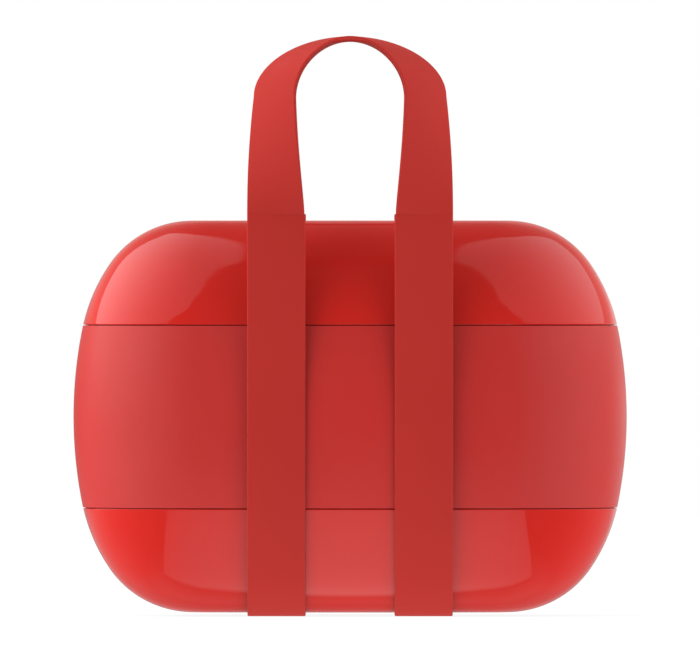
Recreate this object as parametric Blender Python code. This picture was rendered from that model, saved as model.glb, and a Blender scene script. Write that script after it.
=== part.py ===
"""Three-tier lunch box carried in a soft strap, in metres.

+Z is up, the box stands on its strap at z = 0, and its front is towards -Y.
Two glossy bowls close a matte tray between them, each mouth has an inner lid with a sealing ring,
and two bands pass under the stack and end above it in two twisted handles.
"""

import math

import bmesh
import bpy
from mathutils import Vector

# Plan outline of the widest section: bowed front and back, bowed ends, round corners
BODY_WIDTH = 0.185
BODY_DEPTH = 0.115
FRONT_BOW_RADIUS = 0.300
END_BOW_RADIUS = 0.120
PLAN_CORNER_SHARE = 0.4174
PLAN_CORNER_RADIUS = PLAN_CORNER_SHARE * BODY_DEPTH

# Side outline, the same all round: a barrel belly, a tighter hip and a round edge to the flat top and base
BODY_HEIGHT = 0.1309
TRAY_HEIGHT = 0.0608
HIP_RADIUS = 0.0585
EDGE_RADIUS = 0.0335
BELLY_TURN = math.radians(11.5)
HIP_TURN = math.radians(34.4)

# Walls
BOWL_WALL = 0.0020
TRAY_WALL = 0.0022
TRAY_FLOOR = 0.0022
TRAY_FLOOR_FILLET = 0.0040
LIP_WALL = 0.0014
LIP_ROUND = 0.0005

# Lids and their seals
LID_RISE = 0.0020
LID_SEAT_DEPTH = 0.0018
MIDDLE_LID_RIM = 0.0022
LID_PLATE = 0.0016
LID_PANEL_DROP = 0.0008
LID_PANEL_MARGIN = 0.0040
LID_EDGE = 0.0004
PLUG_DEPTH = 0.0060
PLUG_WALL = 0.0026
PLUG_LEAD = 0.0006
GROOVE_HEIGHT = 0.0026
GROOVE_DEPTH = 0.0013
SEAL_BULGE = 0.0006

# Divider and its guides in the tray
DIVIDER_X = 0.020
DIVIDER_THICKNESS = 0.0018
DIVIDER_CORNER = 0.0020
GUIDE_WALL = 0.0018
GUIDE_REACH = 0.0028
GUIDE_TOP_DROP = 0.0012

# Strap bands and handles
STRAP_WIDTH = 0.0194
STRAP_THICKNESS = 0.0009
STRAP_EDGE = 0.0003
STRAP_SPACING = 0.0491
SHOULDER_RISE = 0.0021
SHOULDER_STEP = 0.0005
HANDLE_HEIGHT = 0.0612
HANDLE_SPRING_HEIGHT = 0.0413
HANDLE_SPRING_HALF_SPAN = 0.0319
HANDLE_SPRING_TWIST = math.radians(44.0)
ARCH_POINT = 1.03
TWIST_EASE = 0.2

# Clearances
SEAM_GAP = 0.0003
SEAT_GAP = 0.0003
FIT_GAP = 0.0003
SEAL_GAP = 0.0002

# Facets
FRONT_FACETS = 3
CORNER_FACETS = 7
END_FACETS = 2
WALL_FACETS = 9
BELLY_FACETS = 6
ROUND_FACETS = 3
WRAP_FACETS = 14
LEG_FACETS = 8
ARCH_FACETS = 9
SMOOTH_ANGLE = math.radians(32.0)

# Levels that follow from the sizes above
BASE_LEVEL = STRAP_THICKNESS + SEAT_GAP
MIDDLE_LEVEL = BASE_LEVEL + BODY_HEIGHT / 2
TOP_LEVEL = BASE_LEVEL + BODY_HEIGHT
SEAM_HEIGHT = TRAY_HEIGHT / 2
BOWL_RIM = SEAM_HEIGHT + SEAM_GAP
BOWL_SEAT = BOWL_RIM + LID_SEAT_DEPTH
BOWL_LAND_END = BOWL_SEAT + PLUG_DEPTH
OUTER_LID_RIM = LID_RISE + SEAM_GAP + LID_SEAT_DEPTH - SEAT_GAP
NEST_HEIGHT = SEAM_HEIGHT - LID_RISE
MIDDLE_LID_TOP = NEST_HEIGHT - SEAT_GAP
TRAY_SEAT = MIDDLE_LID_TOP - MIDDLE_LID_RIM - SEAT_GAP
TRAY_LAND_END = TRAY_SEAT - PLUG_DEPTH
TRAY_FLOOR_UNDER = SEAT_GAP - NEST_HEIGHT
TRAY_FLOOR_TOP = TRAY_FLOOR_UNDER + TRAY_FLOOR
BELLY_RADIUS = (
    BODY_HEIGHT / 2
    - HIP_RADIUS * (math.sin(HIP_TURN) - math.sin(BELLY_TURN))
    - EDGE_RADIUS * (1 - math.sin(HIP_TURN))
) / math.sin(BELLY_TURN)
SIDE_ARCS = (
    (0.0, BELLY_TURN, BELLY_RADIUS),
    (BELLY_TURN, HIP_TURN, HIP_RADIUS),
    (HIP_TURN, math.pi / 2, EDGE_RADIUS),
)

# Colours, linear, with roughness
GLOSS_RED = ((0.560, 0.018, 0.012), 0.08)
MATTE_RED = ((0.500, 0.024, 0.020), 0.50)
LID_RED = ((0.480, 0.022, 0.016), 0.35)
STRAP_RED = ((0.440, 0.030, 0.024), 0.60)
SEAL_WHITE = ((0.780, 0.760, 0.740), 0.45)


def spaced(start, end, count):
    """count + 1 values from start to end at equal steps."""
    return [start + (end - start) * i / count for i in range(count + 1)]


def side_point(turn, offset=0.0):
    """(inset, height) on the side outline where it has turned by an angle, moved inwards by an offset."""
    inset = offset
    height = 0.0
    for start, end, radius in SIDE_ARCS:
        reached = min(max(turn, start), end)
        inset += (radius - offset) * (math.cos(start) - math.cos(reached))
        height += (radius - offset) * (math.sin(reached) - math.sin(start))
    return inset, height


def side_turn(height, offset=0.0):
    """The turn at which the offset side outline reaches a height above the middle."""
    reached = 0.0
    for start, end, radius in SIDE_ARCS:
        rise = (radius - offset) * (math.sin(end) - math.sin(start))
        if height <= reached + rise or end == SIDE_ARCS[-1][1]:
            return math.asin(math.sin(start) + (height - reached) / (radius - offset))
        reached += rise


def side_inset(height, offset=0.0):
    """How far the offset side outline lies inside the widest section at a height, up or down."""
    return side_point(side_turn(abs(height), offset), offset)[0]


LIP_INSET = side_inset(BOWL_RIM) + LIP_WALL
LAND_INSET = side_inset(BOWL_LAND_END, BOWL_WALL)
LID_RIM_INSET = LIP_INSET + FIT_GAP
PLUG_INSET = LAND_INSET + FIT_GAP
PLUG_INNER_INSET = PLUG_INSET + PLUG_WALL
GROOVE_INSET = PLUG_INSET + GROOVE_DEPTH


def plan_quarter():
    """Centre, radius and direction of each plan sample, from the middle of the back to an end's middle."""
    front = Vector((0.0, BODY_DEPTH / 2 - FRONT_BOW_RADIUS))
    end = Vector((BODY_WIDTH / 2 - END_BOW_RADIUS, 0.0))
    front_reach = FRONT_BOW_RADIUS - PLAN_CORNER_RADIUS
    end_reach = END_BOW_RADIUS - PLAN_CORNER_RADIUS
    span = end - front
    along = (span.length_squared + front_reach**2 - end_reach**2) / (2 * span.length)
    across = math.sqrt(front_reach**2 - along**2)
    unit = span.normalized()
    corner = front + along * unit + across * Vector((unit.y, -unit.x))
    leaves_front = math.atan2(corner.x - front.x, corner.y - front.y)
    meets_end = math.atan2(corner.x - end.x, corner.y - end.y)
    samples = [(front, FRONT_BOW_RADIUS, a) for a in spaced(0.0, leaves_front, FRONT_FACETS)]
    samples += [(corner, PLAN_CORNER_RADIUS, a) for a in spaced(leaves_front, meets_end, CORNER_FACETS)[1:]]
    samples += [(end, END_BOW_RADIUS, a) for a in spaced(meets_end, math.pi / 2, END_FACETS)[1:]]
    return samples


PLAN_QUARTER = plan_quarter()


def plan_loop(inset):
    """The plan outline, moved inwards by an inset, as (x, y) points all round."""
    quarter = [
        (centre.x + (radius - inset) * math.sin(angle), centre.y + (radius - inset) * math.cos(angle))
        for centre, radius, angle in PLAN_QUARTER
    ]
    right_back = quarter
    right_front = [(x, -y) for x, y in quarter[-2::-1]]
    left_front = [(-x, -y) for x, y in quarter[1:]]
    left_back = [(-x, y) for x, y in quarter[-2:0:-1]]
    return right_back + right_front + left_front + left_back


def front_reach(x, inset):
    """Distance from the middle plane to the bowed front, moved inwards by an inset, at a given x."""
    return BODY_DEPTH / 2 - FRONT_BOW_RADIUS + math.sqrt((FRONT_BOW_RADIUS - inset) ** 2 - x**2)


def add_object(name, mesh_data, origin, look, parent=None):
    """A named object from a bmesh in world coordinates, with its origin at a point and its own material."""
    bmesh.ops.recalc_face_normals(mesh_data, faces=mesh_data.faces)
    bmesh.ops.translate(mesh_data, verts=mesh_data.verts, vec=-Vector(origin))
    mesh = bpy.data.meshes.new(name)
    mesh_data.to_mesh(mesh)
    mesh_data.free()
    mesh.shade_smooth()
    mesh.set_sharp_from_angle(angle=SMOOTH_ANGLE)
    colour, roughness = look
    material = bpy.data.materials.new(name + "_finish")
    material.use_nodes = True
    shader = material.node_tree.nodes["Principled BSDF"]
    shader.inputs["Base Color"].default_value = (*colour, 1.0)
    shader.inputs["Roughness"].default_value = roughness
    shader.inputs["Metallic"].default_value = 0.0
    mesh.materials.append(material)
    obj = bpy.data.objects.new(name, mesh)
    obj.location = origin
    bpy.context.scene.collection.objects.link(obj)
    if parent:
        obj.parent = parent
        obj.location = Vector(origin) - parent.location
    return obj


def skin(mesh_data, loops, closed):
    """Faces between neighbouring loops of vertices, with both end loops capped unless the row is closed."""
    rows = list(zip(loops, loops[1:]))
    if closed:
        rows.append((loops[-1], loops[0]))
    for first, second in rows:
        for i in range(len(first)):
            j = (i + 1) % len(first)
            mesh_data.faces.new((first[i], first[j], second[j], second[i]))
    if not closed:
        mesh_data.faces.new(loops[0])
        mesh_data.faces.new(loops[-1])


def swept_round(section, closed=False):
    """A bmesh whose section of (inset, level) points follows the plan outline all round."""
    mesh_data = bmesh.new()
    loops = [[mesh_data.verts.new((x, y, level)) for x, y in plan_loop(inset)] for inset, level in section]
    skin(mesh_data, loops, closed)
    return mesh_data


def extruded(outline, x, width):
    """A bmesh from a (y, z) outline with a width along X, centred on x."""
    mesh_data = bmesh.new()
    ends = (x - width / 2, x + width / 2)
    loops = [[mesh_data.verts.new((end, y, z)) for y, z in outline] for end in ends]
    skin(mesh_data, loops, False)
    return mesh_data


def rounded_lip(inset, height, direction):
    """Points of a lip's rounded outer edge, from the wall to the rim face, the rim facing the given way."""
    return [
        (
            inset + LIP_ROUND * (1 - math.cos(angle)),
            height - direction * LIP_ROUND * (1 - math.sin(angle)),
        )
        for angle in spaced(0.0, math.pi / 2, ROUND_FACETS)
    ]


def bowl_section():
    """(inset, distance from the middle) round a bowl's wall, from its base over the rim to its floor."""
    lip_start = BOWL_RIM + LIP_ROUND
    outside = [side_point(turn) for turn in spaced(math.pi / 2, side_turn(lip_start), WALL_FACETS)]
    lip = rounded_lip(side_inset(lip_start), BOWL_RIM, -1)
    mouth = [
        (LIP_INSET, BOWL_RIM),
        (LIP_INSET, BOWL_SEAT),
        (LAND_INSET, BOWL_SEAT),
    ]
    inside_turns = spaced(side_turn(BOWL_LAND_END, BOWL_WALL), math.pi / 2, WALL_FACETS)
    inside = [side_point(turn, BOWL_WALL) for turn in inside_turns]
    return outside[:-1] + lip + mouth + inside


def bowl(name, upwards):
    """A bowl above or below the middle, open towards it."""
    direction = 1 if upwards else -1
    section = [(inset, MIDDLE_LEVEL + direction * height) for inset, height in bowl_section()]
    return add_object(name, swept_round(section), (0, 0, section[0][1]), GLOSS_RED, ROOT)


def lid_section(rim_height):
    """(inset, depth) round a lid, depth running from its outer face to the end of its plug."""
    groove_start = rim_height + (PLUG_DEPTH - GROOVE_HEIGHT) / 2
    groove_end = groove_start + GROOVE_HEIGHT
    plug_end = rim_height + PLUG_DEPTH
    panel_inset = LID_RIM_INSET + LID_PANEL_MARGIN
    return [
        (panel_inset + LID_PANEL_DROP, LID_PANEL_DROP),
        (panel_inset, 0.0),
        (LID_RIM_INSET + LID_EDGE, 0.0),
        (LID_RIM_INSET, LID_EDGE),
        (LID_RIM_INSET, rim_height),
        (PLUG_INSET, rim_height),
        (PLUG_INSET, groove_start),
        (GROOVE_INSET, groove_start),
        (GROOVE_INSET, groove_end),
        (PLUG_INSET, groove_end),
        (PLUG_INSET, plug_end - PLUG_LEAD),
        (PLUG_INSET + PLUG_LEAD, plug_end),
        (PLUG_INNER_INSET, plug_end),
        (PLUG_INNER_INSET, LID_PANEL_DROP + LID_PLATE),
    ]


def seal_section(rim_height):
    """(inset, depth) round the sealing ring in a lid's groove, bulging towards the wall it meets."""
    start = rim_height + (PLUG_DEPTH - GROOVE_HEIGHT) / 2 + SEAL_GAP
    end = start + GROOVE_HEIGHT - 2 * SEAL_GAP
    back = GROOVE_INSET - SEAL_GAP
    face = LAND_INSET + SEAL_GAP
    return [
        (back, start),
        (face + SEAL_BULGE, start),
        (face, start + SEAL_BULGE),
        (face, end - SEAL_BULGE),
        (face + SEAL_BULGE, end),
        (back, end),
    ]


def lid_with_seal(name, outer_face, rim_height, plug_upwards):
    """A lid and its seal, with the lid's outer face at a height from the middle."""
    direction = 1 if plug_upwards else -1
    face_level = MIDDLE_LEVEL + outer_face
    section = [(inset, face_level + direction * depth) for inset, depth in lid_section(rim_height)]
    lid = add_object(name, swept_round(section), (0, 0, face_level), LID_RED, ROOT)
    ring = [(inset, face_level + direction * depth) for inset, depth in seal_section(rim_height)]
    add_object(name + "_seal", swept_round(ring, closed=True), (0, 0, ring[0][1]), SEAL_WHITE, lid)


def tray_section():
    """(inset, level) round the tray's wall, from its floor over the mouth and down to its underside."""
    fillet_height = TRAY_FLOOR_TOP + TRAY_FLOOR_FILLET
    fillet_centre = side_inset(fillet_height, TRAY_WALL) + TRAY_FLOOR_FILLET
    fillet = [
        (
            fillet_centre - TRAY_FLOOR_FILLET * math.sin(angle),
            fillet_height - TRAY_FLOOR_FILLET * math.cos(angle),
        )
        for angle in spaced(0.0, math.pi / 2, ROUND_FACETS)
    ]
    inside_heights = spaced(fillet_height, COLLAR_UNDER, BELLY_FACETS)[1:]
    inside = [(side_inset(height, TRAY_WALL), height) for height in inside_heights]
    mouth = [
        (LAND_INSET, TRAY_LAND_END),
        (LAND_INSET, TRAY_SEAT),
        (LIP_INSET, TRAY_SEAT),
        (LIP_INSET, SEAM_HEIGHT),
    ]
    wall_end = SEAM_HEIGHT - LIP_ROUND
    upper_lip = rounded_lip(side_inset(wall_end), SEAM_HEIGHT, 1)[::-1]
    outside = [(side_inset(height), height) for height in spaced(wall_end, -wall_end, BELLY_FACETS)]
    lower_lip = rounded_lip(side_inset(wall_end), -SEAM_HEIGHT, -1)
    underside = [
        (LIP_INSET, -SEAM_HEIGHT),
        (LIP_INSET, TRAY_FLOOR_UNDER),
    ]
    section = fillet + inside + mouth + upper_lip + outside[1:-1] + lower_lip + underside
    return [(inset, MIDDLE_LEVEL + height) for inset, height in section]


COLLAR_UNDER = TRAY_LAND_END - (LAND_INSET - side_inset(TRAY_LAND_END, TRAY_WALL))
GUIDE_INSET = PLUG_INSET + GUIDE_REACH


def helper(obj):
    """Marks an object that only shapes another one."""
    obj.hide_render = True
    obj.display_type = "WIRE"
    return obj


def combine(obj, other, operation):
    """Joins or cuts an object with a helper."""
    modifier = obj.modifiers.new(other.name, "BOOLEAN")
    modifier.operation = operation
    modifier.object = helper(other)


def guide_outline(side):
    """(y, z) outline of a divider guide on the front or back wall, rooted in the wall and the floor."""
    root = TRAY_FLOOR_UNDER + TRAY_FLOOR / 2
    top = COLLAR_UNDER - GUIDE_TOP_DROP
    wall = [
        (front_reach(DIVIDER_X, side_inset(height, TRAY_WALL / 2)), height)
        for height in spaced(root, top, BELLY_FACETS)
    ]
    face = front_reach(DIVIDER_X, GUIDE_INSET)
    outline = wall + [(face, top), (face, root)]
    return [(side * y, MIDDLE_LEVEL + height) for y, height in outline]


def tray():
    """The tray, open at the top, recessed underneath to sit over the lower lid, with its divider guides."""
    section = tray_section()
    obj = add_object("middle_tray", swept_round(section), (0, 0, section[-2][1]), MATTE_RED, ROOT)
    origin = (DIVIDER_X, 0, MIDDLE_LEVEL)
    slot_width = DIVIDER_THICKNESS + 2 * FIT_GAP
    for label, side in (("front", -1), ("back", 1)):
        guide = extruded(guide_outline(side), DIVIDER_X, slot_width + 2 * GUIDE_WALL)
        combine(obj, add_object(label + "_guide_block", guide, origin, MATTE_RED, ROOT), "UNION")
    slot_reach = front_reach(DIVIDER_X, LAND_INSET)
    slot_bottom = MIDDLE_LEVEL + TRAY_FLOOR_TOP + SEAT_GAP / 2
    slot_top = MIDDLE_LEVEL + TRAY_LAND_END - SEAT_GAP
    outline = [
        (-slot_reach, slot_bottom),
        (slot_reach, slot_bottom),
        (slot_reach, slot_top),
        (-slot_reach, slot_top),
    ]
    slot = extruded(outline, DIVIDER_X, slot_width)
    combine(obj, add_object("guide_slot_cutter", slot, origin, MATTE_RED, ROOT), "DIFFERENCE")


def divider():
    """The drop-in partition: it slides in the guides and its tongue rises inside the middle lid's plug."""
    edge = front_reach(DIVIDER_X, PLUG_INSET)
    tongue = front_reach(DIVIDER_X, PLUG_INNER_INSET + FIT_GAP)
    bottom = TRAY_FLOOR_TOP + SEAT_GAP
    shoulder = MIDDLE_LID_TOP - MIDDLE_LID_RIM - PLUG_DEPTH - SEAT_GAP
    top = MIDDLE_LID_TOP - LID_PANEL_DROP - LID_PLATE - SEAT_GAP
    half = [
        (edge - DIVIDER_CORNER, bottom),
        (edge, bottom + DIVIDER_CORNER),
        (edge, shoulder),
        (tongue, shoulder),
        (tongue, top - DIVIDER_CORNER),
        (tongue - DIVIDER_CORNER, top),
    ]
    other_half = [(-y, height) for y, height in half[::-1]]
    outline = [(y, MIDDLE_LEVEL + height) for y, height in half + other_half]
    origin = (DIVIDER_X, 0, MIDDLE_LEVEL + bottom)
    add_object("middle_divider", extruded(outline, DIVIDER_X, DIVIDER_THICKNESS), origin, MATTE_RED, ROOT)


STRAP_INNER_X = (STRAP_SPACING - STRAP_WIDTH) / 2
STRAP_OUTER_X = (STRAP_SPACING + STRAP_WIDTH) / 2
SHOULDER_LEVEL = TOP_LEVEL + SHOULDER_RISE
STRAP_INNER_Y = front_reach(STRAP_INNER_X, -SEAT_GAP)
STRAP_OUTER_Y = STRAP_INNER_Y + STRAP_THICKNESS


def strap_loop(mesh_data, centre, width_vector, normal):
    """Vertices of the strap's section, its edges eased, at a point of its middle surface."""
    half = STRAP_THICKNESS / 2
    half_width = width_vector / 2
    eased = 1 - STRAP_EDGE / half_width.length
    corners = (
        (1.0, half - STRAP_EDGE),
        (eased, half),
        (-eased, half),
        (-1.0, half - STRAP_EDGE),
        (-1.0, STRAP_EDGE - half),
        (-eased, -half),
        (eased, -half),
        (1.0, STRAP_EDGE - half),
    )
    return [mesh_data.verts.new(centre + across * half_width + out * normal) for across, out in corners]


def band_path():
    """(y, z, turn) along the middle of a band's thickness, from the front shoulder to the base's middle."""
    offset = -SEAT_GAP - STRAP_THICKNESS / 2
    middle_y = STRAP_INNER_Y + STRAP_THICKNESS / 2
    path = [(-middle_y, SHOULDER_LEVEL, 0.0)]
    for turn in spaced(0.0, math.pi / 2, WRAP_FACETS):
        inset, height = side_point(turn, offset)
        path.append((-front_reach(STRAP_INNER_X, inset), MIDDLE_LEVEL - height, turn))
    return path


def band(name, side):
    """One band: up the front, under the base and up the back."""
    centre_x = side * STRAP_SPACING / 2
    front = [(y, z, Vector((0, -math.cos(turn), -math.sin(turn)))) for y, z, turn in band_path()]
    back = [(-y, z, Vector((0, -normal.y, normal.z))) for y, z, normal in front[::-1]]
    mesh_data = bmesh.new()
    width_vector = Vector((STRAP_WIDTH, 0, 0))
    loops = []
    for y, z, normal in front + back:
        loops.append(strap_loop(mesh_data, Vector((centre_x, y, z)), width_vector, normal))
    skin(mesh_data, loops, False)
    add_object(name, mesh_data, (centre_x, 0, 0), STRAP_RED, ROOT)


def handle_half():
    """(outer x, twist, level) of the band's edge from the foot of a leg to the top of the arch."""
    foot = SHOULDER_LEVEL + SEAT_GAP
    spring = TOP_LEVEL + HANDLE_SPRING_HEIGHT
    apex = TOP_LEVEL + HANDLE_HEIGHT - STRAP_THICKNESS / 2
    stations = []
    for step in spaced(0.0, 1.0, LEG_FACETS):
        climb = step**2
        outer_x = STRAP_OUTER_X + (HANDLE_SPRING_HALF_SPAN - STRAP_OUTER_X) * climb**2
        turned = (math.hypot(step, TWIST_EASE) - TWIST_EASE) / (math.hypot(1.0, TWIST_EASE) - TWIST_EASE)
        stations.append((outer_x, HANDLE_SPRING_TWIST * turned, foot + (spring - foot) * climb))
    for angle in spaced(0.0, math.pi / 2, ARCH_FACETS)[1:]:
        narrowing = max(math.cos(angle), 0.0) ** ARCH_POINT
        twist = math.acos(math.cos(HANDLE_SPRING_TWIST) * narrowing)
        level = spring + (apex - spring) * math.sin(angle) ** ARCH_POINT
        stations.append((HANDLE_SPRING_HALF_SPAN * narrowing, twist, level))
    return stations


def handle(name, side):
    """A twisted arch: its outer edge stays in the band's plane, its inner edge turns outwards to the top."""
    width = STRAP_WIDTH - SHOULDER_STEP
    plane_y = STRAP_INNER_Y + STRAP_THICKNESS / 2
    right = []
    for outer_x, twist, level in handle_half():
        outer_edge = Vector((outer_x, side * plane_y, level))
        inner_edge = outer_edge + width * Vector((-math.cos(twist), side * math.sin(twist), 0))
        right.append((outer_edge, inner_edge))
    flip = Vector((-1, 1, 1))
    left = [(outer * flip, inner * flip) for outer, inner in right[-2::-1]]
    edges = right + left
    centres = [(outer + inner) / 2 for outer, inner in edges]
    mesh_data = bmesh.new()
    loops = []
    last = len(edges) - 1
    for i, (outer, inner) in enumerate(edges):
        tangent = centres[min(i + 1, last)] - centres[max(i - 1, 0)]
        if i in (0, last):
            tangent = Vector((0, 0, 1 if i == 0 else -1))
        width_vector = outer - inner
        normal = width_vector.cross(tangent).normalized()
        loops.append(strap_loop(mesh_data, centres[i], width_vector, normal))
    skin(mesh_data, loops, False)
    add_object(name, mesh_data, (0, side * STRAP_OUTER_Y, SHOULDER_LEVEL), STRAP_RED, ROOT)


for existing in list(bpy.data.objects):
    bpy.data.objects.remove(existing, do_unlink=True)
ROOT = bpy.data.objects.new("lunch_box", None)
bpy.context.scene.collection.objects.link(ROOT)

bowl("lower_bowl", upwards=False)
lid_with_seal("lower_lid", -NEST_HEIGHT, OUTER_LID_RIM, plug_upwards=False)
tray()
divider()
lid_with_seal("middle_lid", MIDDLE_LID_TOP, MIDDLE_LID_RIM, plug_upwards=False)
lid_with_seal("upper_lid", NEST_HEIGHT, OUTER_LID_RIM, plug_upwards=True)
bowl("upper_bowl", upwards=True)
band("left_band", -1)
band("right_band", 1)
handle("front_handle", -1)
handle("rear_handle", 1)
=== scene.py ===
"""Finished look of the three-tier lunch box: fine moulded shells, tray, lids, seals and a soft strap."""

import math

import bmesh
import bpy
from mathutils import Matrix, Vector


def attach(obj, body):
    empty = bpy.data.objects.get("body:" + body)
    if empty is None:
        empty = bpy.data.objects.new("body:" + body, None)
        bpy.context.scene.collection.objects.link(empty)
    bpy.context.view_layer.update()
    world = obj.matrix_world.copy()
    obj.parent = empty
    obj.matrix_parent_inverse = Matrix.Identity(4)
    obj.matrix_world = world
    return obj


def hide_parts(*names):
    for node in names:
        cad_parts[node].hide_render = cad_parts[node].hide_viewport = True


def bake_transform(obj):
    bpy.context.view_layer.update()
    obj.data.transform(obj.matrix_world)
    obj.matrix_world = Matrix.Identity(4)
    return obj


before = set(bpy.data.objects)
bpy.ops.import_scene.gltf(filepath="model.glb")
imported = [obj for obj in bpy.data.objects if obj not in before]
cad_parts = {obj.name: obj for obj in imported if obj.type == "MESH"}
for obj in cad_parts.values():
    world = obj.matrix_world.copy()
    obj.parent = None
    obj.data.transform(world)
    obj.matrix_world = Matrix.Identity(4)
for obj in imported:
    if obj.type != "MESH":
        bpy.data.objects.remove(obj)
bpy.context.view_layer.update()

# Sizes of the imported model, in metres
BODY_WIDTH = 0.185
BODY_DEPTH = 0.115
FRONT_BOW_RADIUS = 0.300
END_BOW_RADIUS = 0.120
PLAN_CORNER_RADIUS = 0.4174 * BODY_DEPTH
BODY_HEIGHT = 0.1309
TRAY_HEIGHT = 0.0608
HIP_RADIUS = 0.0585
EDGE_RADIUS = 0.0335
BELLY_TURN = math.radians(11.5)
HIP_TURN = math.radians(34.4)
BOWL_WALL = 0.0020
TRAY_WALL = 0.0022
TRAY_FLOOR = 0.0022
TRAY_FLOOR_FILLET = 0.0040
LIP_WALL = 0.0014
LIP_ROUND = 0.0002
LID_RISE = 0.0020
LID_SEAT_DEPTH = 0.0018
MIDDLE_LID_RIM = 0.0022
LID_PLATE = 0.0016
LID_PANEL_DROP = 0.0008
LID_PANEL_MARGIN = 0.0040
PLUG_DEPTH = 0.0060
PLUG_WALL = 0.0026
PLUG_LEAD = 0.0006
GROOVE_HEIGHT = 0.0026
GROOVE_DEPTH = 0.0013
SEAL_BULGE = 0.0006
DIVIDER_X = 0.020
DIVIDER_THICKNESS = 0.0018
DIVIDER_CORNER = 0.0020
GUIDE_WALL = 0.0018
GUIDE_REACH = 0.0028
GUIDE_TOP_DROP = 0.0012
STRAP_WIDTH = 0.0194
STRAP_THICKNESS = 0.0009
STRAP_SPACING = 0.0491
SHOULDER_RISE = 0.0021
SHOULDER_STEP = 0.0005
HANDLE_HEIGHT = 0.0612
HANDLE_SPRING_HEIGHT = 0.0413
HANDLE_SPRING_HALF_SPAN = 0.0319
HANDLE_SPRING_TWIST = math.radians(44.0)
ARCH_POINT = 1.03
TWIST_EASE = 0.2
SEAM_GAP = 0.0003
SEAT_GAP = 0.0003
FIT_GAP = 0.0003
SEAL_GAP = 0.0002

# Rounding that only the finished surfaces have, and the most of a side that a rounded corner takes up
SMALL_ROUND = 0.0003
STRAP_ROUND = 0.0004
CORNER_SHARE = 0.45

# A low tongue inside each bowl's rim, which closes most of the seam from within
TONGUE_SETBACK = 0.0007
TONGUE_HEIGHT = 0.0002

# Fineness of the finished meshes
FRONT_STEPS = 14
CORNER_STEPS = 26
END_STEPS = 8
WALL_STEPS = 30
BELLY_STEPS = 14
ROUND_STEPS = 4
WRAP_STEPS = 60
UPRIGHT_STEPS = 16
LEG_STEPS = 36
ARCH_STEPS = 44
EASE_STEPS = 3
PANEL_STEPS = 6
SHARP_ANGLE = math.radians(40.0)

# Levels that follow
BASE_LEVEL = STRAP_THICKNESS + SEAT_GAP
MIDDLE_LEVEL = BASE_LEVEL + BODY_HEIGHT / 2
TOP_LEVEL = BASE_LEVEL + BODY_HEIGHT
SEAM_HEIGHT = TRAY_HEIGHT / 2
BOWL_RIM = SEAM_HEIGHT + SEAM_GAP
BOWL_SEAT = BOWL_RIM + LID_SEAT_DEPTH
BOWL_LAND_END = BOWL_SEAT + PLUG_DEPTH
OUTER_LID_RIM = LID_RISE + SEAM_GAP + LID_SEAT_DEPTH - SEAT_GAP
NEST_HEIGHT = SEAM_HEIGHT - LID_RISE
MIDDLE_LID_TOP = NEST_HEIGHT - SEAT_GAP
TRAY_SEAT = MIDDLE_LID_TOP - MIDDLE_LID_RIM - SEAT_GAP
TRAY_LAND_END = TRAY_SEAT - PLUG_DEPTH
TRAY_FLOOR_UNDER = SEAT_GAP - NEST_HEIGHT
TRAY_FLOOR_TOP = TRAY_FLOOR_UNDER + TRAY_FLOOR
BELLY_RADIUS = (
    BODY_HEIGHT / 2
    - HIP_RADIUS * (math.sin(HIP_TURN) - math.sin(BELLY_TURN))
    - EDGE_RADIUS * (1 - math.sin(HIP_TURN))
) / math.sin(BELLY_TURN)
SIDE_ARCS = (
    (0.0, BELLY_TURN, BELLY_RADIUS),
    (BELLY_TURN, HIP_TURN, HIP_RADIUS),
    (HIP_TURN, math.pi / 2, EDGE_RADIUS),
)


def spaced(start, end, count):
    """count + 1 values from start to end at equal steps."""
    return [start + (end - start) * i / count for i in range(count + 1)]


def side_point(turn, offset=0.0):
    """(inset, height) on the side outline where it has turned by an angle, moved inwards by an offset."""
    inset = offset
    height = 0.0
    for start, end, radius in SIDE_ARCS:
        reached = min(max(turn, start), end)
        inset += (radius - offset) * (math.cos(start) - math.cos(reached))
        height += (radius - offset) * (math.sin(reached) - math.sin(start))
    return inset, height


def side_turn(height, offset=0.0):
    """The turn at which the offset side outline reaches a height above the middle."""
    reached = 0.0
    for start, end, radius in SIDE_ARCS:
        rise = (radius - offset) * (math.sin(end) - math.sin(start))
        if height <= reached + rise or end == SIDE_ARCS[-1][1]:
            return math.asin(math.sin(start) + (height - reached) / (radius - offset))
        reached += rise


def side_inset(height, offset=0.0):
    """How far the offset side outline lies inside the widest section at a height, up or down."""
    return side_point(side_turn(abs(height), offset), offset)[0]


LIP_INSET = side_inset(BOWL_RIM) + LIP_WALL
LAND_INSET = side_inset(BOWL_LAND_END, BOWL_WALL)
LID_RIM_INSET = LIP_INSET + FIT_GAP
PLUG_INSET = LAND_INSET + FIT_GAP
PLUG_INNER_INSET = PLUG_INSET + PLUG_WALL
GROOVE_INSET = PLUG_INSET + GROOVE_DEPTH
COLLAR_UNDER = TRAY_LAND_END - (LAND_INSET - side_inset(TRAY_LAND_END, TRAY_WALL))
GUIDE_INSET = PLUG_INSET + GUIDE_REACH


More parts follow.
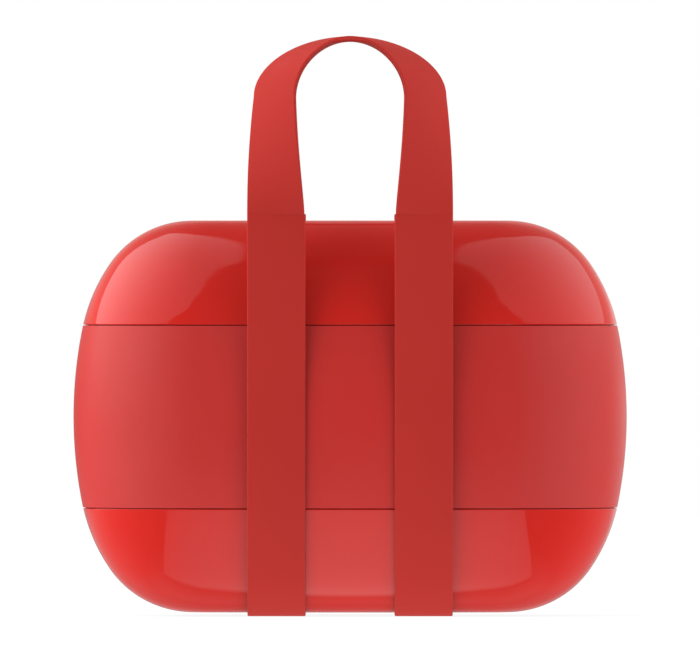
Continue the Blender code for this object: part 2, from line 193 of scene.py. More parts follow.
def plan_quarter():
    """Centre, radius and direction of each plan sample, from the middle of the back to the right end."""
    front = Vector((0.0, BODY_DEPTH / 2 - FRONT_BOW_RADIUS))
    end = Vector((BODY_WIDTH / 2 - END_BOW_RADIUS, 0.0))
    front_reach_to_corner = FRONT_BOW_RADIUS - PLAN_CORNER_RADIUS
    end_reach_to_corner = END_BOW_RADIUS - PLAN_CORNER_RADIUS
    span = end - front
    along = (span.length_squared + front_reach_to_corner**2 - end_reach_to_corner**2) / (2 * span.length)
    across = math.sqrt(front_reach_to_corner**2 - along**2)
    unit = span.normalized()
    corner = front + along * unit + across * Vector((unit.y, -unit.x))
    leaves_front = math.atan2(corner.x - front.x, corner.y - front.y)
    meets_end = math.atan2(corner.x - end.x, corner.y - end.y)
    samples = [(front, FRONT_BOW_RADIUS, a) for a in spaced(0.0, leaves_front, FRONT_STEPS)]
    samples += [(corner, PLAN_CORNER_RADIUS, a) for a in spaced(leaves_front, meets_end, CORNER_STEPS)[1:]]
    samples += [(end, END_BOW_RADIUS, a) for a in spaced(meets_end, math.pi / 2, END_STEPS)[1:]]
    return samples


PLAN_QUARTER = plan_quarter()


def plan_loop(inset):
    """The plan outline, moved inwards by an inset, as (x, y) points all round."""
    quarter = [
        (centre.x + (radius - inset) * math.sin(angle), centre.y + (radius - inset) * math.cos(angle))
        for centre, radius, angle in PLAN_QUARTER
    ]
    right_front = [(x, -y) for x, y in quarter[-2::-1]]
    left_front = [(-x, -y) for x, y in quarter[1:]]
    left_back = [(-x, y) for x, y in quarter[-2:0:-1]]
    return quarter + right_front + left_front + left_back


def front_reach(x, inset):
    """Distance from the middle plane to the bowed front, moved inwards by an inset, at a given x."""
    return BODY_DEPTH / 2 - FRONT_BOW_RADIUS + math.sqrt((FRONT_BOW_RADIUS - inset) ** 2 - x**2)


STRAP_INNER_X = (STRAP_SPACING - STRAP_WIDTH) / 2
STRAP_OUTER_X = (STRAP_SPACING + STRAP_WIDTH) / 2
SHOULDER_LEVEL = TOP_LEVEL + SHOULDER_RISE
STRAP_INNER_Y = front_reach(STRAP_INNER_X, -SEAT_GAP)


def rounded(points, radius, closed=False):
    """A section with each clear corner replaced by a small curve."""
    made = []
    count = len(points)
    for i, point in enumerate(points):
        if not closed and i in (0, count - 1):
            made.append(tuple(point))
            continue
        here = Vector(point)
        before = Vector(points[i - 1]) - here
        after = Vector(points[(i + 1) % count]) - here
        bend = math.pi - before.angle(after)
        if bend < SHARP_ANGLE / 2:
            made.append(tuple(point))
            continue
        reach = min(radius * math.tan(bend / 2), CORNER_SHARE * before.length, CORNER_SHARE * after.length)
        start = here + before.normalized() * reach
        end = here + after.normalized() * reach
        for t in spaced(0.0, 1.0, ROUND_STEPS):
            made.append(tuple(start * (1 - t) ** 2 + here * 2 * t * (1 - t) + end * t**2))
    return made


def skin(mesh_data, loops, closed):
    """Faces between neighbouring loops of vertices, with both end loops capped unless the row is closed."""
    rows = list(zip(loops, loops[1:]))
    if closed:
        rows.append((loops[-1], loops[0]))
    for first, second in rows:
        for i in range(len(first)):
            j = (i + 1) % len(first)
            mesh_data.faces.new((first[i], first[j], second[j], second[i]))
    if not closed:
        mesh_data.faces.new(loops[0])
        mesh_data.faces.new(loops[-1])


def swept_round(section, closed=False):
    """A bmesh whose section of (inset, level) points follows the plan outline all round."""
    mesh_data = bmesh.new()
    loops = [[mesh_data.verts.new((x, y, level)) for x, y in plan_loop(inset)] for inset, level in section]
    skin(mesh_data, loops, closed)
    return mesh_data


def extruded(outline, x, width, ease):
    """A bmesh from a (y, z) outline with a width along X, centred on x, with eased edges."""
    mesh_data = bmesh.new()
    ends = (x - width / 2, x + width / 2)
    loops = [[mesh_data.verts.new((end, y, z)) for y, z in outline] for end in ends]
    skin(mesh_data, loops, False)
    bmesh.ops.recalc_face_normals(mesh_data, faces=mesh_data.faces)
    sharp = [e for e in mesh_data.edges if e.calc_face_angle(0.0) > SHARP_ANGLE]
    bmesh.ops.bevel(
        mesh_data, geom=sharp, offset=ease, segments=EASE_STEPS, affect="EDGES", clamp_overlap=True
    )
    return mesh_data


def new_piece(name, mesh_data, material, nodes):
    """A finished object from a bmesh, standing for the CAD nodes."""
    bmesh.ops.recalc_face_normals(mesh_data, faces=mesh_data.faces)
    mesh = bpy.data.meshes.new(name)
    mesh_data.to_mesh(mesh)
    mesh_data.free()
    mesh.shade_smooth()
    mesh.set_sharp_from_angle(angle=SHARP_ANGLE)
    mesh.materials.append(material)
    obj = bpy.data.objects.new(name, mesh)
    bpy.context.scene.collection.objects.link(obj)
    if nodes:
        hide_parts(*nodes)
    return obj


# Materials

WHITE = (1.0, 1.0, 1.0, 1.0)
FULL = (0.0, 1.0)

# Unevenness of the finishes: the scale of each noise, the part of it that shows and how far it goes
NOISE_SPAN = (0.3, 0.7)
DRIFT_SCALE = 22.0
DRIFT_DETAIL = 3.0
COLOUR_DRIFT = 0.02
POLISH_SCALE = 60.0
POLISH_DETAIL = 4.0
POLISH_ROUGHNESS = 0.6
GRAIN_DETAIL = 2.0
GRAIN_STRENGTH = 0.5

# Worn edges: how convex an edge is where wear begins and where it is full, and how pale it gets
WORN_SPAN = (0.53, 0.62)
WORN_PALENESS = 0.18


class Nodes:
    """Adds nodes to a tree, setting or linking their inputs by name or place."""

    def __init__(self, tree):
        self.tree = tree

    def add(self, kind, inputs=None, **settings):
        """A new node, its inputs set to values or linked to sockets."""
        made = self.tree.nodes.new(kind)
        for key, value in settings.items():
            setattr(made, key, value)
        for key, value in (inputs or {}).items():
            socket = made.inputs[key]
            if isinstance(value, bpy.types.NodeSocket):
                self.tree.links.new(value, socket)
            else:
                socket.default_value = value
        return made

    def maths(self, operation, first, second=0.0):
        """One sum, product or other operation on two numbers."""
        return self.add("ShaderNodeMath", {0: first, 1: second}, operation=operation).outputs[0]

    def ranged(self, value, span, levels, kind="LINEAR"):
        """A number that goes from one level to another as a value crosses a span."""
        inputs = {
            "Value": value,
            "From Min": span[0],
            "From Max": span[1],
            "To Min": levels[0],
            "To Max": levels[1],
        }
        return self.add("ShaderNodeMapRange", inputs, interpolation_type=kind).outputs["Result"]

    def noise(self, coordinates, scale, detail, roughness=0.5):
        """Smooth noise between 0 and 1."""
        inputs = {"Vector": coordinates, "Scale": scale, "Detail": detail, "Roughness": roughness}
        return self.add("ShaderNodeTexNoise", inputs).outputs["Fac"]

    def blended(self, factor, first, second):
        """A colour between two others."""
        return self.add("ShaderNodeMix", {0: factor, 6: first, 7: second}, data_type="RGBA").outputs[2]

    def either(self, factor, first, second):
        """A number between two others."""
        return self.add("ShaderNodeMix", {0: factor, 2: first, 3: second}).outputs[0]


def shaded(colour, share):
    """A colour made darker or lighter by a share, as a socket value."""
    return tuple(min(1.0, c * share) for c in colour) + (1.0,)


def moulded(name, colour, roughness, spread, grain_scale, grain_depth, wear, **shader):
    """A moulded plastic or rubber with slow colour drift, fine grain, uneven polish and pale worn edges."""
    material = bpy.data.materials.new(name)
    material.use_nodes = True
    tree = material.node_tree
    n = Nodes(tree)
    bsdf = tree.nodes["Principled BSDF"]
    place = n.add("ShaderNodeTexCoord").outputs["Object"]
    drift = n.noise(place, DRIFT_SCALE, DRIFT_DETAIL)
    low = shaded(colour, 1 - COLOUR_DRIFT)
    high = shaded(colour, 1 + COLOUR_DRIFT)
    body = n.blended(n.ranged(drift, NOISE_SPAN, FULL), low, high)
    edges = n.add("ShaderNodeNewGeometry").outputs["Pointiness"]
    worn = n.ranged(edges, WORN_SPAN, (0.0, wear))
    pale = tuple(c + (1 - c) * WORN_PALENESS for c in colour) + (1.0,)
    tree.links.new(n.blended(worn, body, pale), bsdf.inputs["Base Color"])
    handled = n.noise(place, POLISH_SCALE, POLISH_DETAIL, POLISH_ROUGHNESS)
    polish = n.ranged(handled, NOISE_SPAN, (roughness - spread, roughness + spread))
    tree.links.new(polish, bsdf.inputs["Roughness"])
    grain = n.noise(place, grain_scale, GRAIN_DETAIL)
    bump = n.add("ShaderNodeBump", {"Strength": GRAIN_STRENGTH, "Distance": grain_depth, "Height": grain})
    tree.links.new(bump.outputs["Normal"], bsdf.inputs["Normal"])
    for key, value in shader.items():
        bsdf.inputs[key.replace("_", " ")].default_value = value
    return material


GLOSS_RED = (0.560, 0.018, 0.013)
MATTE_RED = (0.508, 0.023, 0.019)
LID_RED = (0.480, 0.022, 0.016)
STRAP_RED = (0.442, 0.028, 0.022)
SEAL_WHITE = (0.780, 0.760, 0.740)
RIM_GLOW = {"Sheen_Weight": 0.25, "Sheen_Roughness": 0.35, "Sheen_Tint": (1.0, 0.06, 0.05, 1.0)}
STRAP_BLOOM = {"Sheen_Weight": 0.22, "Sheen_Roughness": 0.4, "Sheen_Tint": (1.0, 0.15, 0.12, 1.0)}
gloss = moulded(
    "gloss_moulding",
    GLOSS_RED,
    roughness=0.06,
    spread=0.015,
    grain_scale=120.0,
    grain_depth=0.000004,
    wear=0.5,
    **RIM_GLOW,
)
matte = moulded(
    "matte_moulding",
    MATTE_RED,
    roughness=0.36,
    spread=0.03,
    grain_scale=2600.0,
    grain_depth=0.00006,
    wear=0.4,
    Specular_IOR_Level=0.30,
)
satin = moulded(
    "satin_moulding",
    LID_RED,
    roughness=0.34,
    spread=0.04,
    grain_scale=1400.0,
    grain_depth=0.00003,
    wear=0.4,
)
rubber = moulded(
    "strap_elastomer",
    STRAP_RED,
    roughness=0.56,
    spread=0.04,
    grain_scale=3200.0,
    grain_depth=0.00005,
    wear=0.0,
    Specular_IOR_Level=0.06,
    **STRAP_BLOOM,
)
silicone = moulded(
    "seal_silicone",
    SEAL_WHITE,
    roughness=0.42,
    spread=0.05,
    grain_scale=900.0,
    grain_depth=0.00003,
    wear=0.2,
    Subsurface_Weight=0.2,
)


# Bowls


def lip(inset, height, direction):
    """Points of a lip's rounded outer edge, from the wall to the rim face, the rim facing the given way."""
    return [
        (inset + LIP_ROUND * (1 - math.cos(angle)), height - direction * LIP_ROUND * (1 - math.sin(angle)))
        for angle in spaced(0.0, math.pi / 2, 2 * ROUND_STEPS)
    ]


def bowl(name, node, upwards):
    """A glossy bowl above or below the middle, open towards it."""
    lip_start = BOWL_RIM + LIP_ROUND
    wall_turns = spaced(math.pi / 2, side_turn(lip_start + LIP_ROUND), WALL_STEPS)
    outside = [side_point(turn) for turn in wall_turns]
    tongue_inset = side_inset(lip_start) + TONGUE_SETBACK
    tongue_end = BOWL_RIM - TONGUE_HEIGHT
    mouth = [
        (tongue_inset, BOWL_RIM),
        (tongue_inset, tongue_end),
        (LIP_INSET, tongue_end),
        (LIP_INSET, BOWL_SEAT),
        (LAND_INSET, BOWL_SEAT),
    ]
    inside_turns = spaced(side_turn(BOWL_LAND_END, BOWL_WALL), math.pi / 2, WALL_STEPS)
    inside = [side_point(turn, BOWL_WALL) for turn in inside_turns]
    section = outside + lip(side_inset(lip_start), BOWL_RIM, -1)
    section += rounded(section[-1:] + mouth + inside[:1], SMALL_ROUND)[1:-1] + inside
    direction = 1 if upwards else -1
    levels = [(inset, MIDDLE_LEVEL + direction * height) for inset, height in section]
    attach(new_piece(name, swept_round(levels), gloss, [node]), node)


# Lids and seals


def lid_with_seal(node, outer_face, rim_height, plug_upwards):
    """An inner lid with its sealing ring, the lid's outer face at a height from the middle."""
    direction = 1 if plug_upwards else -1
    groove_start = rim_height + (PLUG_DEPTH - GROOVE_HEIGHT) / 2
    groove_end = groove_start + GROOVE_HEIGHT
    plug_end = rim_height + PLUG_DEPTH
    panel_inset = LID_RIM_INSET + LID_PANEL_MARGIN
    panel_foot = panel_inset + LID_PANEL_DROP
    section = [
        (panel_foot + LID_PANEL_MARGIN, LID_PANEL_DROP),
        (panel_foot, LID_PANEL_DROP),
        (panel_inset, 0.0),
        (LID_RIM_INSET, 0.0),
        (LID_RIM_INSET, rim_height),
        (PLUG_INSET, rim_height),
        (PLUG_INSET, groove_start),
        (GROOVE_INSET, groove_start),
        (GROOVE_INSET, groove_end),
        (PLUG_INSET, groove_end),
        (PLUG_INSET, plug_end - PLUG_LEAD),
        (PLUG_INSET + PLUG_LEAD, plug_end),
        (PLUG_INNER_INSET, plug_end),
        (PLUG_INNER_INSET, LID_PANEL_DROP + LID_PLATE),
        (PLUG_INNER_INSET + LID_PANEL_MARGIN, LID_PANEL_DROP + LID_PLATE),
    ]
    ring_start = groove_start + SEAL_GAP
    ring_end = groove_end - SEAL_GAP
    ring_back = GROOVE_INSET - SEAL_GAP
    ring_face = LAND_INSET + SEAL_GAP
    ring = [
        (ring_back, ring_start),
        (ring_face + SEAL_BULGE, ring_start),
        (ring_face, ring_start + SEAL_BULGE),
        (ring_face, ring_end - SEAL_BULGE),
        (ring_face + SEAL_BULGE, ring_end),
        (ring_back, ring_end),
    ]
    level = MIDDLE_LEVEL + outer_face
    lid = [(inset, level + direction * depth) for inset, depth in rounded(section, SMALL_ROUND)]
    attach(new_piece(node + "_plate", swept_round(lid), satin, [node]), node)
    seal = [(inset, level + direction * depth) for inset, depth in rounded(ring, SMALL_ROUND, True)]
    seal_node = node + "_seal"
    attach(new_piece(seal_node + "_ring", swept_round(seal, True), silicone, [seal_node]), node)


# Tray and divider


def tray():
    """The matte tray, open at the top and recessed underneath to sit over the lower lid."""
    fillet_height = TRAY_FLOOR_TOP + TRAY_FLOOR_FILLET
    fillet_centre = side_inset(fillet_height, TRAY_WALL) + TRAY_FLOOR_FILLET
    fillet = [
        (
            fillet_centre - TRAY_FLOOR_FILLET * math.sin(angle),
            fillet_height - TRAY_FLOOR_FILLET * math.cos(angle),
        )
        for angle in spaced(0.0, math.pi / 2, 2 * ROUND_STEPS)
    ]
    inside_heights = spaced(fillet_height, COLLAR_UNDER, BELLY_STEPS)[1:]
    inside = [(side_inset(height, TRAY_WALL), height) for height in inside_heights]
    mouth = [
        (LAND_INSET, TRAY_LAND_END),
        (LAND_INSET, TRAY_SEAT),
        (LIP_INSET, TRAY_SEAT),
        (LIP_INSET, SEAM_HEIGHT),
    ]
    wall_end = SEAM_HEIGHT - LIP_ROUND
    upper_lip = lip(side_inset(wall_end), SEAM_HEIGHT, 1)[::-1]
    outside_heights = spaced(wall_end - LIP_ROUND, LIP_ROUND - wall_end, 2 * BELLY_STEPS)
    outside = [(side_inset(height), height) for height in outside_heights]
    lower_lip = lip(side_inset(wall_end), -SEAM_HEIGHT, -1)
    underside = [
        (LIP_INSET, -SEAM_HEIGHT),
        (LIP_INSET, TRAY_FLOOR_UNDER),
        (LIP_INSET + LID_PANEL_MARGIN, TRAY_FLOOR_UNDER),
    ]
    section = fillet + inside[:-1] + rounded(inside[-1:] + mouth + upper_lip[:1], SMALL_ROUND)[:-1]
    section += upper_lip + outside + lower_lip[:-1] + rounded(lower_lip[-1:] + underside, SMALL_ROUND)
    levels = [(inset, MIDDLE_LEVEL + height) for inset, height in section]
    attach(new_piece("tray_shell", swept_round(levels), matte, ["middle_tray"]), "middle_tray")


def guides():
    """Four ribs in the tray, a pair on the front wall and a pair on the back, which hold the divider."""
    root = TRAY_FLOOR_UNDER + TRAY_FLOOR / 2
    top = COLLAR_UNDER - GUIDE_TOP_DROP
    wall = [
        (front_reach(DIVIDER_X, side_inset(height, TRAY_WALL / 2)), height)
        for height in spaced(root, top, BELLY_STEPS)
    ]
    face = front_reach(DIVIDER_X, GUIDE_INSET)
    half = wall + [(face, top), (face, root)]
    middle = (DIVIDER_THICKNESS + 2 * FIT_GAP + GUIDE_WALL) / 2
    for label, side in (("front", -1), ("back", 1)):
        outline = [(side * y, MIDDLE_LEVEL + height) for y, height in half]
        for place, shift in (("left", -middle), ("right", middle)):
            rib = extruded(outline, DIVIDER_X + shift, GUIDE_WALL, SMALL_ROUND)
            name = label + "_" + place + "_guide_rib"
            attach(new_piece(name, rib, matte, []), "middle_tray")


def divider():
    """The drop-in partition: it slides in the guides and its tongue rises inside the middle lid's plug."""
    edge = front_reach(DIVIDER_X, PLUG_INSET)
    tongue = front_reach(DIVIDER_X, PLUG_INNER_INSET + FIT_GAP)
    bottom = TRAY_FLOOR_TOP + SEAT_GAP
    shoulder = MIDDLE_LID_TOP - MIDDLE_LID_RIM - PLUG_DEPTH - SEAT_GAP
    top = MIDDLE_LID_TOP - LID_PANEL_DROP - LID_PLATE - SEAT_GAP
    half = [
        (edge - DIVIDER_CORNER, bottom),
        (edge, bottom + DIVIDER_CORNER),
        (edge, shoulder),
        (tongue, shoulder),
        (tongue, top - DIVIDER_CORNER),
        (tongue - DIVIDER_CORNER, top),
    ]
    other_half = [(-y, height) for y, height in half[::-1]]
    corners = [(y, MIDDLE_LEVEL + height) for y, height in half + other_half]
    plate = extruded(rounded(corners, DIVIDER_CORNER / 2, True), DIVIDER_X, DIVIDER_THICKNESS, SMALL_ROUND)
    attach(new_piece("divider_plate", plate, matte, ["middle_divider"]), "divider")


# Strap


def strap_loop(mesh_data, centre, width_vector, normal):
    """Vertices of the strap's section with rounded edges at a point of its middle surface."""
    half = STRAP_THICKNESS / 2
    half_width = width_vector.length / 2
    across = width_vector.normalized()
    loop = []
    for side_x, side_n, start in ((1, 1, 0.0), (-1, 1, 0.5), (-1, -1, 1.0), (1, -1, 1.5)):
        for angle in spaced(start * math.pi, (start + 0.5) * math.pi, ROUND_STEPS):
            x = side_x * (half_width - STRAP_ROUND) + STRAP_ROUND * math.cos(angle)
            out = side_n * (half - STRAP_ROUND) + STRAP_ROUND * math.sin(angle)
            loop.append(mesh_data.verts.new(centre + x * across + out * normal))
    return loop


def band(name, node, side):
    """One band: up the front, under the base and up the back."""
    centre_x = side * STRAP_SPACING / 2
    offset = -SEAT_GAP - STRAP_THICKNESS / 2
    middle_y = STRAP_INNER_Y + STRAP_THICKNESS / 2
    levels = [SHOULDER_LEVEL] + spaced(SHOULDER_LEVEL - SMALL_ROUND, MIDDLE_LEVEL, UPRIGHT_STEPS)[:-1]
    front = [(-middle_y, level, Vector((0, -1, 0))) for level in levels]
    for turn in spaced(0.0, math.pi / 2, WRAP_STEPS):
        inset, height = side_point(turn, offset)
        normal = Vector((0, -math.cos(turn), -math.sin(turn)))
        front.append((-front_reach(STRAP_INNER_X, inset), MIDDLE_LEVEL - height, normal))
    back = [(-y, z, Vector((0, -normal.y, normal.z))) for y, z, normal in front[::-1]]
    mesh_data = bmesh.new()
    width_vector = Vector((STRAP_WIDTH, 0, 0))
    loops = []
    for y, z, normal in front + back:
        loops.append(strap_loop(mesh_data, Vector((centre_x, y, z)), width_vector, normal))
    skin(mesh_data, loops, False)
    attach(new_piece(name, mesh_data, rubber, [node]), "strap")


def handle_half():
    """(outer x, twist, level) of the band's edge from the foot of a leg to the top of the arch."""
    foot = SHOULDER_LEVEL
    spring = TOP_LEVEL + HANDLE_SPRING_HEIGHT
    apex = TOP_LEVEL + HANDLE_HEIGHT - STRAP_THICKNESS / 2
    stations = []
    for step in spaced(0.0, 1.0, LEG_STEPS):
        climb = step**2
        outer_x = STRAP_OUTER_X + (HANDLE_SPRING_HALF_SPAN - STRAP_OUTER_X) * climb**2
        turned = (math.hypot(step, TWIST_EASE) - TWIST_EASE) / (math.hypot(1.0, TWIST_EASE) - TWIST_EASE)
        stations.append((outer_x, HANDLE_SPRING_TWIST * turned, foot + (spring - foot) * climb))
    for angle in spaced(0.0, math.pi / 2, ARCH_STEPS)[1:]:
        narrowing = max(math.cos(angle), 0.0) ** ARCH_POINT
        twist = math.acos(math.cos(HANDLE_SPRING_TWIST) * narrowing)
        level = spring + (apex - spring) * math.sin(angle) ** ARCH_POINT
        stations.append((HANDLE_SPRING_HALF_SPAN * narrowing, twist, level))
    return stations


def handle(name, node, side):
    """A twisted arch that bends out of the bands."""
    width = STRAP_WIDTH - SHOULDER_STEP
    plane_y = STRAP_INNER_Y + STRAP_THICKNESS / 2
    right = []
    for outer_x, twist, level in handle_half():
        outer_edge = Vector((outer_x, side * plane_y, level))
        inner_edge = outer_edge + width * Vector((-math.cos(twist), side * math.sin(twist), 0))
        right.append((outer_edge, inner_edge))
    flip = Vector((-1, 1, 1))
    left = [(outer * flip, inner * flip) for outer, inner in right[-2::-1]]
    edges = right + left
    centres = [(outer + inner) / 2 for outer, inner in edges]
    mesh_data = bmesh.new()
    loops = []
    last = len(edges) - 1
    for i, (outer, inner) in enumerate(edges):
        tangent = centres[min(i + 1, last)] - centres[max(i - 1, 0)]
        if i in (0, last):
            tangent = Vector((0, 0, 1 if i == 0 else -1))
        width_vector = outer - inner
        normal = width_vector.cross(tangent).normalized()
        loops.append(strap_loop(mesh_data, centres[i], width_vector, normal))
    skin(mesh_data, loops, False)
    obj = new_piece(name, mesh_data, rubber, [node])
    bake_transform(obj)


bowl("lower_bowl_shell", "lower_bowl", upwards=False)
lid_with_seal("lower_lid", -NEST_HEIGHT, OUTER_LID_RIM, plug_upwards=False)
tray()
guides()
divider()
lid_with_seal("middle_lid", MIDDLE_LID_TOP, MIDDLE_LID_RIM, plug_upwards=False)
lid_with_seal("upper_lid", NEST_HEIGHT, OUTER_LID_RIM, plug_upwards=True)
bowl("upper_bowl_shell", "upper_bowl", upwards=True)
band("left_band_strip", "left_band", -1)
band("right_band_strip", "right_band", 1)
handle("front_handle_loop", "front_handle", -1)
handle("rear_handle_loop", "rear_handle", 1)

# Studio

scene = bpy.context.scene
scene.view_settings.view_transform = "Standard"

# Camera: a long lens almost level with the box, framed as the photograph is
# PIXEL is what one pixel of the photograph measures at the box
PIXEL = 0.00033442
FRAME_PIXELS = 700
FRAME_WIDTH = FRAME_PIXELS * PIXEL
LENS = 1580.0
SENSOR = 36.0
ELEVATION = math.radians(0.12)
VIEW_SHIFT = -0.1 * PIXEL
VIEW_RISE = 85.3 * PIXEL
TARGET = Vector((VIEW_SHIFT, 0.0, MIDDLE_LEVEL + VIEW_RISE))
DISTANCE = FRAME_WIDTH * LENS / SENSOR

camera_data = bpy.data.cameras.new("camera")
camera_data.lens = LENS
camera_data.sensor_width = SENSOR
camera_data.clip_start = 0.1
camera_data.clip_end = 60.0
camera = bpy.data.objects.new("camera", camera_data)
scene.collection.objects.link(camera)
camera.location = TARGET + DISTANCE * Vector((0.0, -math.cos(ELEVATION), math.sin(ELEVATION)))
camera.rotation_euler = (math.pi / 2 - ELEVATION, 0.0, 0.0)
scene.camera = camera


def stage_piece(name, points, material):
    """One flat stage face through some points."""
    mesh = bpy.data.meshes.new(name)
    mesh.from_pydata(points, [], [tuple(range(len(points)))])
    mesh.materials.append(material)
    obj = bpy.data.objects.new(name, mesh)
    scene.collection.objects.link(obj)
    return obj


def mirrored_card(name, points):
    """A white card seen only in reflections: its nodes, the place on it and the socket of its strength."""
    material = bpy.data.materials.new(name + "_light")
    material.use_nodes = True
    material.node_tree.nodes.clear()
    g = Nodes(material.node_tree)
    light = g.add("ShaderNodeEmission", {"Color": WHITE})
    g.add("ShaderNodeOutputMaterial", {"Surface": light.outputs[0]})
    card = stage_piece(name, points, material)
    card.visible_camera = False
    card.visible_diffuse = False
    card.visible_shadow = False
    return g, g.add("ShaderNodeNewGeometry").outputs["Position"], light.inputs["Strength"]


def smoothed(points):
    """A closed outline as a soft curve through its points."""
    made = []
    count = len(points)
    for i in range(count):
        before, start, end, after = (Vector(points[(i + step) % count]) for step in (-1, 0, 1, 2))
        for t in spaced(0.0, 1.0, PANEL_STEPS)[:-1]:
            pull = (end - before) * t * (1 - t) ** 2 - (after - start) * t**2 * (1 - t)
            made.append(tuple(start + (end - start) * t**2 * (3 - 2 * t) + pull / 2))
    return made


# Tall panels on both sides, as (backwards, upwards) points of a panel one metre from the middle
LEFT_PANEL = (
    (-1.00, 0.70), (-1.45, 1.10), (-1.80, 1.50), (-2.00, 2.00), (-2.10, 2.40), (-2.00, 3.05), (-1.80, 4.00),
    (-1.40, 6.10), (1.60, 8.80), (4.20, 8.50), (3.30, 5.45), (2.95, 3.60), (2.85, 2.65), (2.25, 2.00),
    (1.90, 1.50), (1.40, 0.70), (0.90, 0.25), (0.50, 0.08), (-0.50, 0.15),
)
RIGHT_PANEL = (
    (-1.30, 0.85), (-1.80, 1.30), (-2.15, 1.80), (-2.25, 2.20), (-2.10, 3.15), (-1.90, 4.20),
    (-1.50, 6.20), (1.15, 8.20), (3.10, 7.70), (2.35, 4.75), (2.15, 3.45), (2.25, 2.50), (2.40, 1.85),
    (2.30, 1.55), (1.75, 1.05), (1.45, 0.70), (0.90, 0.25), (0.30, 0.20), (-0.60, 0.35),
)
PANEL_DISTANCE = 4.0

# Strength of each panel far from its brightest direction and in it, and how quickly it falls off
LEFT_LEVELS = (0.64, 1.96)
RIGHT_LEVELS = (0.55, 1.22)
BRIGHTEST_SIDEWAYS = 0.80
BRIGHTEST_BACK = 0.35
BRIGHTEST_UP = 0.48
PANEL_FALLOFF = 4.0

for label, side, outline, levels in (
    ("left", -1, LEFT_PANEL, LEFT_LEVELS),
    ("right", 1, RIGHT_PANEL, RIGHT_LEVELS),
):
    corners = [
        (side * PANEL_DISTANCE, y * PANEL_DISTANCE, MIDDLE_LEVEL + z * PANEL_DISTANCE)
        for y, z in smoothed(outline)
    ]
    g, place, strength = mirrored_card(label + "_panel", corners)
    way = g.add("ShaderNodeVectorMath", {0: place}, operation="NORMALIZE").outputs["Vector"]
    brightest = (side * BRIGHTEST_SIDEWAYS, BRIGHTEST_BACK, BRIGHTEST_UP)
    near = g.add("ShaderNodeVectorMath", {0: way, 1: brightest}, operation="DOT_PRODUCT").outputs["Value"]
    near = g.maths("POWER", g.maths("MAXIMUM", near, 0.0), PANEL_FALLOFF)
    g.tree.links.new(g.ranged(near, FULL, levels), strength)

# Card just above the floor in front, brightest near the box and in the middle, with a soft edge at the box
CARD_LEVEL = 0.0002
CARD_EDGE = -0.0325
CARD_SOFT_EDGE = 0.0034
CARD_EDGE_SHARE = 0.25
CARD_STRENGTH = 1.41
CARD_FADE = 3.98
CARD_SIDE_FADE = 1.02
CARD_SPREAD_FROM = 0.05
CARD_LEFT = (
    (-0.0700, CARD_EDGE),
    (-0.0766, -0.0423),
    (-0.0887, -0.0609),
    (-0.1131, -0.0958),
    (-0.1860, -0.2000),
)
CARD_RIGHT = (
    (0.1520, -0.2000),
    (0.1017, -0.1019),
    (0.0825, -0.0646),
    (0.0733, -0.0445),
    (0.0672, CARD_EDGE),
)
card_corners = [(x, y, CARD_LEVEL) for x, y in CARD_LEFT + CARD_RIGHT]
g, place, strength = mirrored_card("front_card", card_corners)
place = g.add("ShaderNodeSeparateXYZ", {0: place}).outputs
spread = g.maths("DIVIDE", place["X"], g.maths("SUBTRACT", CARD_SPREAD_FROM, place["Y"]))
dimmed = g.maths("MULTIPLY", g.maths("MULTIPLY", spread, spread), CARD_SIDE_FADE)
near = g.maths("ADD", g.maths("MULTIPLY", place["Y"], CARD_FADE), CARD_STRENGTH)
edge = g.ranged(place["Y"], (CARD_EDGE - CARD_SOFT_EDGE, CARD_EDGE), (1.0, CARD_EDGE_SHARE), "SMOOTHSTEP")
g.tree.links.new(g.maths("MULTIPLY", g.maths("SUBTRACT", near, dimmed), edge), strength)

# World: white behind the object, a soft studio that lights it and a dimmer one for its reflections
world = bpy.data.worlds.new("studio")
scene.world = world
world.use_nodes = True
world.cycles.sampling_method = "NONE"
w = Nodes(world.node_tree)
world.node_tree.nodes.clear()
rays = w.add("ShaderNodeLightPath").outputs
direction = w.add("ShaderNodeTexCoord").outputs["Generated"]
parts = w.add("ShaderNodeSeparateXYZ", {0: direction}).outputs
x, y, z = parts["X"], parts["Y"], parts["Z"]

# Soft light by direction, strongest from both ends. What is bounced from piece to piece counts little.
BOUNCES = (1.0, 2.0)
BOUNCE_SHARES = (1.0, 0.1)
soft_terms = (
    (w.maths("MULTIPLY", x, x), 2.87),
    (w.maths("MULTIPLY", y, y), 0.05),
    (w.maths("MULTIPLY", z, z), 0.80),
    (w.maths("MULTIPLY", x, z), -0.56),
    (x, -0.30),
    (y, -0.15),
    (z, -0.10),
)
soft_level = w.maths("MULTIPLY", *soft_terms[0])
for term, share in soft_terms[1:]:
    soft_level = w.maths("ADD", soft_level, w.maths("MULTIPLY", term, share))
soft_level = w.maths("MAXIMUM", soft_level, 0.0)
first_bounce = w.ranged(rays["Diffuse Depth"], BOUNCES, BOUNCE_SHARES)
soft_level = w.maths("MULTIPLY", soft_level, first_bounce)

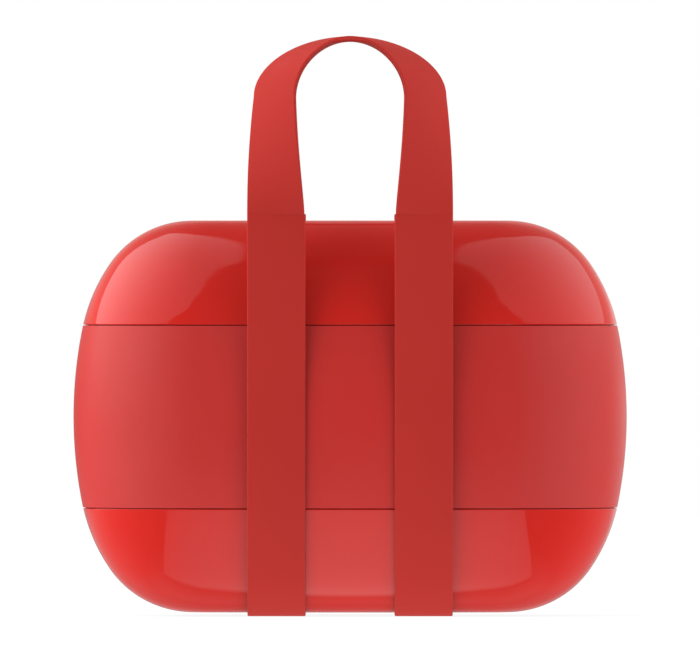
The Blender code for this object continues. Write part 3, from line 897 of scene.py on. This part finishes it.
# Reflected surroundings: dark in front, brighter behind and to the sides, dimmer far above and below
BEHIND_SPAN = (-0.35, 0.9)
SIDE_SPAN = (0.0, 0.45)
SIDE_LEVELS = (0.15, 0.36)
BELOW_SPAN = (-0.4, 0.0)
BELOW_SHARES = (0.74, 1.05)
ABOVE_SPAN = (0.1, 0.7)
ABOVE_SHARES = (1.0, 0.45)
behind = w.ranged(y, BEHIND_SPAN, FULL, "SMOOTHSTEP")
sideways = w.ranged(w.maths("ABSOLUTE", x), SIDE_SPAN, SIDE_LEVELS)
upright = w.maths("MULTIPLY", w.ranged(z, BELOW_SPAN, BELOW_SHARES), w.ranged(z, ABOVE_SPAN, ABOVE_SHARES))
surroundings = w.maths("MULTIPLY", w.maths("MULTIPLY", behind, sideways), upright)

# A faint level all round, with a little more straight behind and straight below
BACKDROP_SPAN = (0.85, 1.0)
BACKDROP_LEVELS = (0.06, 0.22)
GROUND_SPAN = (-0.85, -0.68)
GROUND_LEVELS = (0.14, 0.0)
backdrop = w.ranged(y, BACKDROP_SPAN, BACKDROP_LEVELS, "SMOOTHSTEP")
backdrop = w.maths("ADD", backdrop, w.ranged(z, GROUND_SPAN, GROUND_LEVELS, "SMOOTHSTEP"))
mirror_level = w.maths("ADD", surroundings, backdrop)

# A level band far behind, brighter on the right than on the left
BAND_SPAN = (0.0, 0.16)
BAND_SHARES = (1.0, 0.0)
FAR_SPAN = (0.5, 0.85)
ACROSS_SPAN = (-0.40, 0.40)
ACROSS_LEVELS = (-0.36, 0.50)
level_band = w.ranged(w.maths("ABSOLUTE", z), BAND_SPAN, BAND_SHARES, "SMOOTHSTEP")
far_band = w.maths("MULTIPLY", level_band, w.ranged(y, FAR_SPAN, FULL, "SMOOTHSTEP"))
left_to_right = w.ranged(x, ACROSS_SPAN, ACROSS_LEVELS)
mirror_level = w.maths("ADD", mirror_level, w.maths("MULTIPLY", far_band, left_to_right))

# Reflections turn reddish above level
TINT_SPAN = (-0.05, 0.22)
TINT_SHARES = (0.1, 1.0)
MIRROR_TINT = (1.9, 1.0, 0.92, 1.0)
warmth = w.maths("MULTIPLY", rays["Is Glossy Ray"], w.ranged(z, TINT_SPAN, TINT_SHARES))
tint = w.blended(warmth, WHITE, MIRROR_TINT)
seen_level = w.either(rays["Is Glossy Ray"], soft_level, mirror_level)
level = w.either(rays["Is Camera Ray"], seen_level, 1.0)
sky = w.add("ShaderNodeBackground", {"Color": tint, "Strength": level})
w.add("ShaderNodeOutputWorld", {"Surface": sky.outputs[0]})

# Floor: pale, white to the camera where nothing shades it
FLOOR_REACH = 4.0
FLOOR_SIDES = ((-1, -1), (1, -1), (1, 1), (-1, 1))
FLOOR_GLOW = 0.90
FLOOR_DARKER = (0.15, 0.15, 0.15, 1.0)
FLOOR_LIGHTER = (0.17, 0.17, 0.17, 1.0)
FIBRE_SCALE = 30.0
FIBRE_DETAIL = 3.0
floor_finish = bpy.data.materials.new("floor_finish")
floor_finish.use_nodes = True
floor_finish.node_tree.nodes.clear()
f = Nodes(floor_finish.node_tree)
floor_place = f.add("ShaderNodeNewGeometry").outputs["Position"]
fibres = f.ranged(f.noise(floor_place, FIBRE_SCALE, FIBRE_DETAIL), NOISE_SPAN, FULL)
paper = f.blended(fibres, FLOOR_DARKER, FLOOR_LIGHTER)
shaded_floor = f.add("ShaderNodeBsdfDiffuse", {"Color": paper})
white_floor = f.add("ShaderNodeEmission", {"Color": WHITE, "Strength": FLOOR_GLOW})
both = f.add("ShaderNodeAddShader", {0: shaded_floor.outputs[0], 1: white_floor.outputs[0]})
f.add("ShaderNodeOutputMaterial", {"Surface": both.outputs[0]})
floor_corners = [(FLOOR_REACH * side_x, FLOOR_REACH * side_y, 0.0) for side_x, side_y in FLOOR_SIDES]
floor = stage_piece("floor", floor_corners, floor_finish)
floor.visible_diffuse = False
floor.visible_glossy = False
